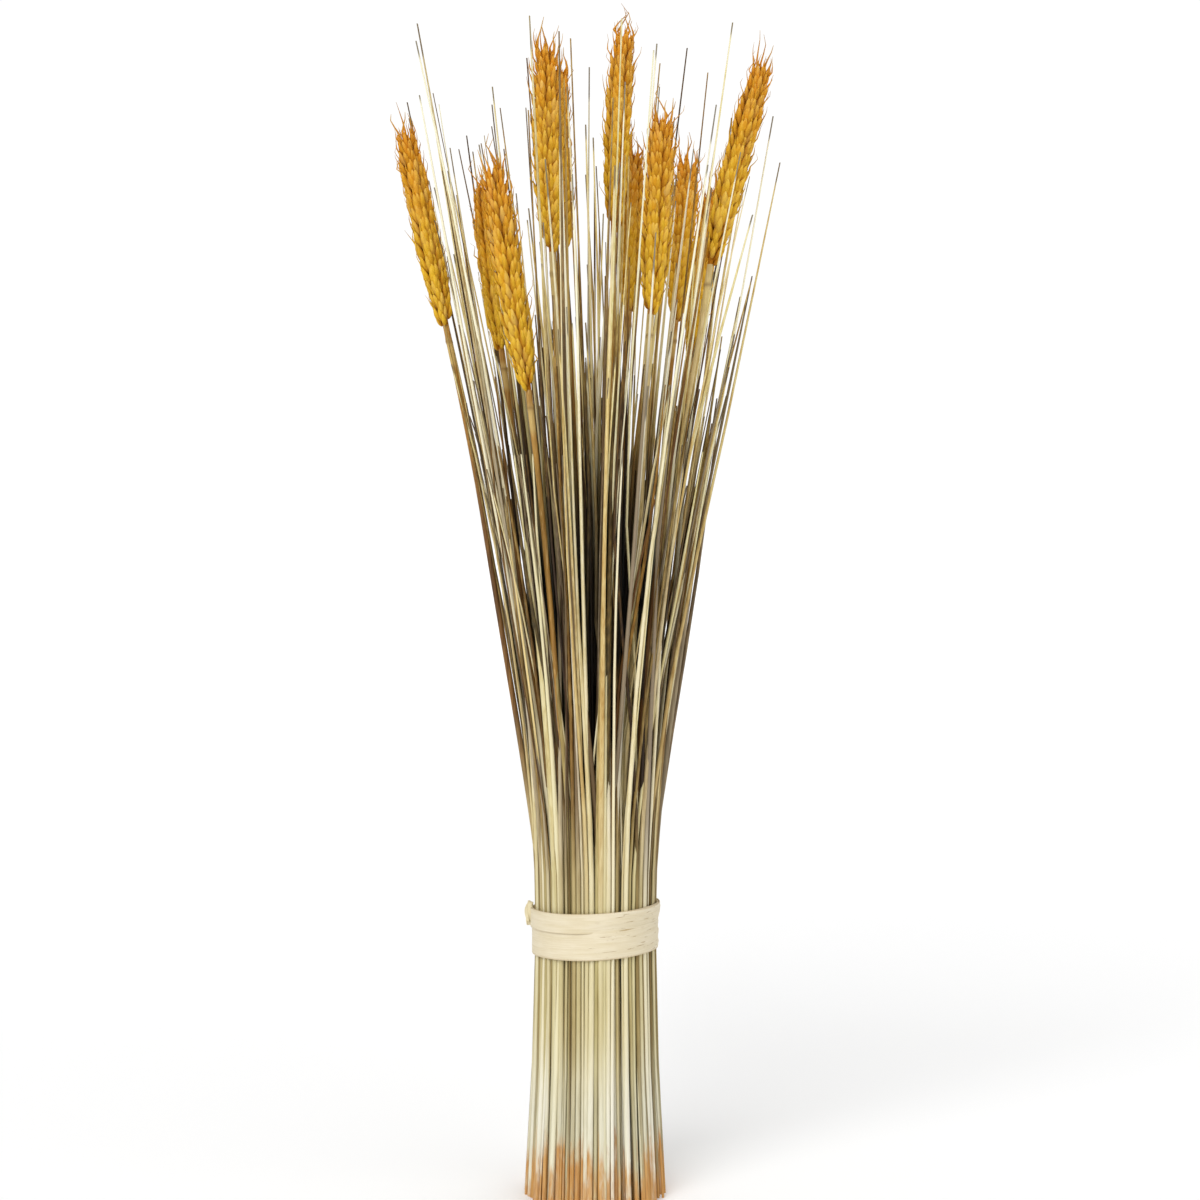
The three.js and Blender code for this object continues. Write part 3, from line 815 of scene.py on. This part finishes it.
class WHEAT_OT_ears(bpy.types.Operator):
    """Build the ears: two rows of spikelets, each of husks with bristles"""

    bl_idname = "wheat.ears"
    bl_label = "Wheat Ears"

    def execute(self, context):
        settings = context.scene.wheat_ear
        self.husk = husk_shape("husk_shape")
        self.bristle = bristle_shape("bristle_shape", BRISTLE_RINGS)
        self.core = rod_shape("core_shape", 6, CORE_RINGS)
        material = husk_finish(settings)
        for number, node in enumerate(cad_nodes("wheat_ear")):
            dice = random.Random(100 + number)
            piece = Piece(*HUSK_NUMBERS)
            self.build(piece, node, settings, dice)
            piece.finish(node.replace("wheat_ear", "ear"), material, "wheat_ear", node)
        return {"FINISHED"}

    def build(self, piece, node, settings, dice):
        """Adds an ear's spikelets, its crown and its core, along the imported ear's axis."""
        points = [vert.co.copy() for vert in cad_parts[node].data.vertices]
        rings = rings_of(points)
        foot = Vector((*rings[0][1], rings[0][0]))
        head = Vector((*rings[-2][1], rings[-2][0]))
        up = (head - foot).normalized()
        broad = broad_side(points, foot, up)
        thick = up.cross(broad)
        bend = (broad * dice.gauss(0, 1) + thick * dice.gauss(0, 1)) * 0.0008

        def rachis(share):
            return foot.lerp(head, share) + bend * math.sin(math.pi * share)

        rows = settings.spikelets
        for i in range(rows * 2):
            side = 1 if i % 2 else -1
            share = (i + 0.3) / (rows * 2 + 1.6)
            full = min(1, 0.66 + 1.9 * share) * (1 - 0.26 * smooth(0.62, 1, share)) * dice.uniform(0.93, 1.05)
            self.spikelet(piece, rachis(share), broad * side, thick, up, share, full, settings, dice)
        self.crown(piece, rachis(0.925), broad, thick, up, settings, dice)

        def move(co):
            share = co.z / (CORE_RINGS - 1) * 0.94
            radius = 0.0011 + 0.0012 * math.sin(math.pi * min(1, share + 0.05))
            spot = rachis(share) + (broad * co.x + thick * co.y) * radius
            return spot, {"rise": share, "along": 0.15}

        piece.add(self.core, move, tone=0.4, edge=0, keel=0)

    def spikelet(self, piece, root, out, thick, up, share, full, settings, dice):
        """Adds a spikelet's husks and their bristles."""
        long, wide = settings.floret_length * full, settings.floret_width * full
        own = dice.random()
        for outwards, sideways, start, length, width, bristle in SPIKELET:
            lean = math.radians(outwards + dice.gauss(0, 2.5))
            cross = math.radians(sideways + dice.gauss(0, 2.5))
            aim = (up + out * math.tan(lean) + thick * math.tan(cross)).normalized()
            at = root + (out * start[0] + thick * start[1] + up * start[2]) * MM * full
            keel = (out * 0.75 + thick * (0.9 if sideways > 0 else -0.9 if sideways < 0 else 0)).normalized()
            central = 0.45 if start[0] < 1 else 1
            tone = mix(own, dice.random(), 0.5) * central
            numbers = {"tone": tone, "edge": max(0.0, dice.gauss(0, 0.4))}
            self.floret(piece, at, aim, keel, long * length, wide * width, share, numbers)
            tip = at + aim * long * length * 0.98 + keel * long * length * 0.02
            if bristle:
                reach = settings.bristle * bristle * dice.uniform(0.6, 1.3)
                self.awn(piece, tip, aim, out, up, reach, BRISTLE_RADIUS, share, tone, dice)

    def crown(self, piece, root, broad, thick, up, settings, dice):
        """The husks at the ear's tip, with the longest bristles."""
        for i in range(6):
            around = math.tau * i / 5 + 0.3
            side = broad * math.cos(around) + thick * math.sin(around) * 0.8
            aim = (up + side * (0.0 if i == 5 else 0.26)).normalized()
            at = root + side * (0.0 if i == 5 else 0.9 * MM)
            numbers = {"tone": dice.random(), "edge": 0.1}
            long = settings.floret_length * dice.uniform(0.75, 0.95)
            self.floret(piece, at, aim, side, long, settings.floret_width * 0.8, 0.97, numbers)
            reach = settings.beard * (1.0 if i == 5 else dice.uniform(0.3, 1.0))
            tip = at + aim * long * 0.8
            self.awn(piece, tip, aim, side, up, reach, BEARD_RADIUS, 1.0, numbers["tone"], dice)

    def floret(self, piece, at, aim, keel, long, wide, share, numbers):
        """Adds one husk that starts at a place, points along aim and has its keel on one side."""
        keel = (keel - aim * keel.dot(aim)).normalized()
        third = aim.cross(keel)

        def move(co):
            out = co.x * wide * 0.85 + 0.054 * long * math.sin(math.pi * co.z)
            place = at + aim * (co.z * long) + keel * out + third * (co.y * wide)
            return place, {"along": co.z * 0.98, "keel": co.x / max(math.hypot(co.x, co.y), 1e-6)}

        piece.add(self.husk, move, rise=share, **numbers)

    def awn(self, piece, at, aim, out, up, reach, thick, share, tone, dice):
        """A bristle that leaves a husk's beak and turns up the ear."""
        third = aim.cross(out).normalized()
        sway = (up - aim) * 0.7 + out * dice.gauss(-0.05, 0.12) + third * dice.gauss(0, 0.12)
        curl = (third * dice.gauss(0, 0.06) + out * dice.gauss(0, 0.06)) * min(1, reach / 0.008)

        def move(co):
            far = co.z / (BRISTLE_RINGS - 1)
            line = aim * (far - 0.08) + out * 0.1 * far + sway * far**2 + curl * math.sin(math.tau * far)
            spot = at + line * reach + (out * co.x + third * co.y) * thick * (1 - 0.5 * far)
            return spot, {"along": 1.04 + 0.22 * far}

        piece.add(self.bristle, move, rise=share, tone=tone, edge=0, keel=1)


def broad_side(points, foot, up):
    """The direction, square to an ear's axis, in which it is broadest."""
    flat = numpy.array([tuple((p - foot) - up * (p - foot).dot(up)) for p in points])
    _, _, ways = numpy.linalg.svd(flat - flat.mean(0))
    way = Vector(ways[0])
    return (way - up * way.dot(up)).normalized()


class WHEAT_OT_tie(bpy.types.Operator):
    """Build the raffia strip that is wound round the waist"""

    bl_idname = "wheat.tie"
    bl_label = "Raffia Strip"

    def execute(self, context):
        settings, flow = context.scene.wheat_tie, context.scene.wheat_flow
        low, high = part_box("tie_strip")
        width = high[2] - low[2] - 2 * settings.tilt
        inner = flow.waist_radius * spread(high[2]) + settings.clearance

        def lay(co):
            turns = settings.turns * (co.x + 0.5)
            side = co.y + 0.5
            angle = settings.start - math.tau * turns
            last = smooth(settings.turns - 0.80, settings.turns - 0.56, turns)
            share = mix(1, 0.42, last)
            wobble = noise.noise(Vector((turns * 6, 0, side * 2))) * 0.35 * MM
            level = high[2] - settings.tilt - (1 - side) * width * share + wobble
            level += settings.tilt * math.cos(angle)
            worn = smooth(-0.2, 0.75, math.cos(angle + 0.35))
            wrinkle = noise.noise(Vector((turns * 8, side * 4, 3.1))) * 0.2 * MM
            folds = noise.noise(Vector((turns * 5, side * 14 + turns * 2, 9.7)))
            crease = max(0, folds - 0.12) * 0.7 * MM * worn
            ribs = 0.05 * MM * math.cos(75 * angle)
            pressed = 1.1 * MM * last * smooth(-0.25, 0.1, math.cos(angle)) * (1 - smooth(0, 0.5, side))
            radius = inner + (settings.thickness + 0.00025) * turns + wrinkle * 0.5 + crease + ribs - pressed
            place = (radius * math.cos(angle), radius * math.sin(angle), level)
            return place, (turns, side * width * share, 1 + math.floor(turns), side, worn)

        material = raffia_finish(settings)
        ribbon("raffia_strip", "tie_strip", (220, 16), lay, settings.thickness, material)
        return {"FINISHED"}


def ribbon(name, node, grid, lay, thickness, material):
    """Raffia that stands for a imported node: a grid whose points lay puts in place, with a thickness and
    rounded edges. lay gives the STRIP_NUMBERS of each point too."""
    mesh = bmesh.new()
    bmesh.ops.create_grid(mesh, x_segments=grid[0], y_segments=grid[1], size=0.5)
    kept = [mesh.verts.layers.float.new(number) for number in STRIP_NUMBERS]
    for vert in mesh.verts:
        vert.co, numbers = lay(vert.co.copy())
        for layer, number in zip(kept, numbers):
            vert[layer] = number
    for face in mesh.faces:
        face.smooth = True
    data = bpy.data.meshes.new(name)
    mesh.to_mesh(data)
    mesh.free()
    data.materials.append(material)
    strip = bpy.data.objects.new(name, data)
    bpy.context.scene.collection.objects.link(strip)
    wall = strip.modifiers.new("Thickness", "SOLIDIFY")
    wall.thickness, wall.offset = thickness, 0
    soft = strip.modifiers.new("Edge", "BEVEL")
    soft.width, soft.segments = thickness * 0.3, 1
    soft.limit_method, soft.angle_limit = "ANGLE", math.radians(50)
    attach(strip, "root")
    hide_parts(node)


FOLD_LAYER = 5  # the number that tells the finish that this is the fold
# The fold's path round the strip's edge, towards the back and up, as shares of the knot's size
FOLD_PATH = [(-0.5, 0.25), (-0.62, 0.7), (-0.5, 1.02), (-0.1, 1.1), (0.32, 1.0), (0.5, 0.6), (0.4, 0.15)]
FOLD_PATH += [(0.05, -0.02), (-0.25, 0.12), (-0.2, 0.5), (0.05, 0.72)]


class WHEAT_OT_knot(bpy.types.Operator):
    """Build the strip's folded end at the side of the waist"""

    bl_idname = "wheat.knot"
    bl_label = "Folded End"

    def execute(self, context):
        settings = context.scene.wheat_tie
        low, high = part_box("tie_knot")
        near = Vector((high[0] + 1.0 * MM, (low[1] + high[1]) / 2, low[2]))
        size = Vector((high[0] - low[0] + 0.2 * MM, high[1] - low[1], high[2] - low[2]))

        def lay(co):
            far, side = co.x + 0.5, co.y
            back, up = curve_through(FOLD_PATH, far)
            narrow = mix(0.7, 1.0, smooth(0, 0.25, far)) * mix(1.0, 0.55, smooth(0.7, 1.0, far))
            rough = noise.noise(Vector((far * 6, side * 2.5, 1.7))) * 0.9 * MM
            lean = 0.22 * math.sin(far * 5)
            bulge = 0.62 + 0.38 * math.sin(math.pi * min(1, max(0, up)))
            out = (0.5 + side * narrow) * bulge * size.x + rough * 0.7
            rise = up * size.z + side * size.x * lean + rough * 0.6
            place = near + Vector((-out, back * size.y + side * size.y * lean * 0.6 + rough * 0.6, rise))
            return place, (far * 0.2 + 3, up * size.z, FOLD_LAYER, side + 0.5, 0.5)

        material = bpy.data.materials["raffia"]
        ribbon("raffia_fold", "tie_knot", (72, 10), lay, settings.thickness * 0.8, material)
        return {"FINISHED"}


def curve_through(points, far):
    """The place a share of the way along a smooth curve through points."""
    spot = far * (len(points) - 1)
    i = min(int(spot), len(points) - 2)
    t = spot - i
    a, b, c, d = (Vector(points[min(max(j, 0), len(points) - 1)]) for j in (i - 1, i, i + 1, i + 2))
    return 0.5 * ((2 * b) + (c - a) * t + (2 * a - 5 * b + 4 * c - d) * t**2 + (3 * b - a - 3 * c + d) * t**3)


ASIDE = 0.0019  # how far right of the bundle's axis the camera stands


class WHEAT_OT_stage(bpy.types.Operator):
    """Build the floor and backdrop, the lights and the camera"""

    bl_idname = "wheat.stage"
    bl_label = "Stage"

    def execute(self, context):
        settings = context.scene.wheat_stage
        self.sheet()
        self.light("key", (-0.8, -1.6, 1.6), 40, settings.key)
        self.light("fill", (1.5, -1.2, 0.9), 60, settings.key * 0.3)
        self.light("back", (0.6, 1.4, 2.0), 60, settings.key * 0.5)
        context.scene.world = self.sky(settings.sky)
        context.scene.view_settings.view_transform = "Standard"
        lens = bpy.data.cameras.new("camera")
        lens.sensor_width = 36
        lens.lens = 36 * settings.distance / settings.seen
        camera = bpy.data.objects.new("camera", lens)
        camera.location = (ASIDE, -settings.distance, settings.height)
        camera.rotation_euler = (math.pi / 2, 0, 0)
        context.scene.collection.objects.link(camera)
        context.scene.camera = camera
        return {"FINISHED"}

    def sheet(self):
        """A pale sheet that is a floor in front and sweeps up all round behind."""
        mesh = bmesh.new()
        bmesh.ops.create_circle(mesh, cap_ends=True, segments=96, radius=2.6)
        rim = mesh.edges[:]
        for grow, rise in ((1.06, 0.01), (1.06, 0.03), (1.06, 0.06), (1.06, 0.10), (1.05, 0.16)):
            made = bmesh.ops.extrude_edge_only(mesh, edges=rim)["geom"]
            points = [part for part in made if isinstance(part, bmesh.types.BMVert)]
            bmesh.ops.scale(mesh, vec=(grow, grow, 1), verts=points)
            bmesh.ops.translate(mesh, vec=(0, 0, rise), verts=points)
            rim = [part for part in made if isinstance(part, bmesh.types.BMEdge)]
        for face in mesh.faces:
            face.smooth = True
        data = bpy.data.meshes.new("floor")
        mesh.to_mesh(data)
        mesh.free()
        finish = Finish("studio_sheet")
        data.materials.append(finish.surface(Base_Color=(0.97, 0.97, 0.97), Roughness=1.0))
        floor = bpy.data.objects.new("floor", data)
        bpy.context.scene.collection.objects.link(floor)

    def sky(self, strength):
        """White light from all round, in front of a brighter white wall."""
        world = bpy.data.worlds.new("studio")
        world.use_nodes = True
        tree = world.node_tree
        seen = Value(tree, tree.nodes.new("ShaderNodeLightPath").outputs["Is Camera Ray"])
        feed(tree, tree.nodes["Background"].inputs["Color"], (1.0, 1.0, 1.0))
        feed(tree, tree.nodes["Background"].inputs["Strength"], seen * (1.02 - strength) + strength)
        return world

    def light(self, name, place, softness, strength):
        """A far, soft light that shines from a place towards the bundle, as wide as this many degrees."""
        lamp = bpy.data.lights.new(name, "SUN")
        lamp.angle, lamp.energy = math.radians(softness), strength
        made = bpy.data.objects.new(name, lamp)
        made.location = place
        aim = Vector((0, 0, 0.25)) - made.location
        made.rotation_euler = aim.to_track_quat("-Z", "Y").to_euler()
        bpy.context.scene.collection.objects.link(made)


class WHEAT_PT_build(bpy.types.Panel):
    """The bundle's pieces, each with its settings"""

    bl_label = "Dried Wheat Bundle"
    bl_space_type = "VIEW_3D"
    bl_region_type = "UI"
    bl_category = "Wheat"

    def draw(self, context):
        self.settings(context.scene.wheat_flow)
        for operator, group in STEPS:
            self.layout.operator(operator.bl_idname)
            self.settings(getattr(context.scene, group))

    def settings(self, group):
        for name in group.__annotations__:
            self.layout.prop(group, name)


STEPS = (
    (WHEAT_OT_straws, "wheat_straw"),
    (WHEAT_OT_stalks, "wheat_stalk"),
    (WHEAT_OT_ears, "wheat_ear"),
    (WHEAT_OT_tie, "wheat_tie"),
    (WHEAT_OT_knot, "wheat_tie"),
    (WHEAT_OT_stage, "wheat_stage"),
)
GROUPS = {
    "wheat_flow": FlowSettings,
    "wheat_straw": StrawSettings,
    "wheat_stalk": StalkSettings,
    "wheat_ear": EarSettings,
    "wheat_tie": TieSettings,
    "wheat_stage": StageSettings,
}
CLASSES = (*GROUPS.values(), *(operator for operator, _ in STEPS), WHEAT_PT_build)


def register():
    for cls in CLASSES:
        bpy.utils.register_class(cls)
    for name, group in GROUPS.items():
        setattr(bpy.types.Scene, name, PointerProperty(type=group))


def unregister():
    for name in GROUPS:
        delattr(bpy.types.Scene, name)
    for cls in reversed(CLASSES):
        bpy.utils.unregister_class(cls)


def main():
    register()
    for operator, _ in STEPS:
        getattr(bpy.ops.wheat, operator.bl_idname.split(".")[1])()


if __name__ == "__main__":
    main()
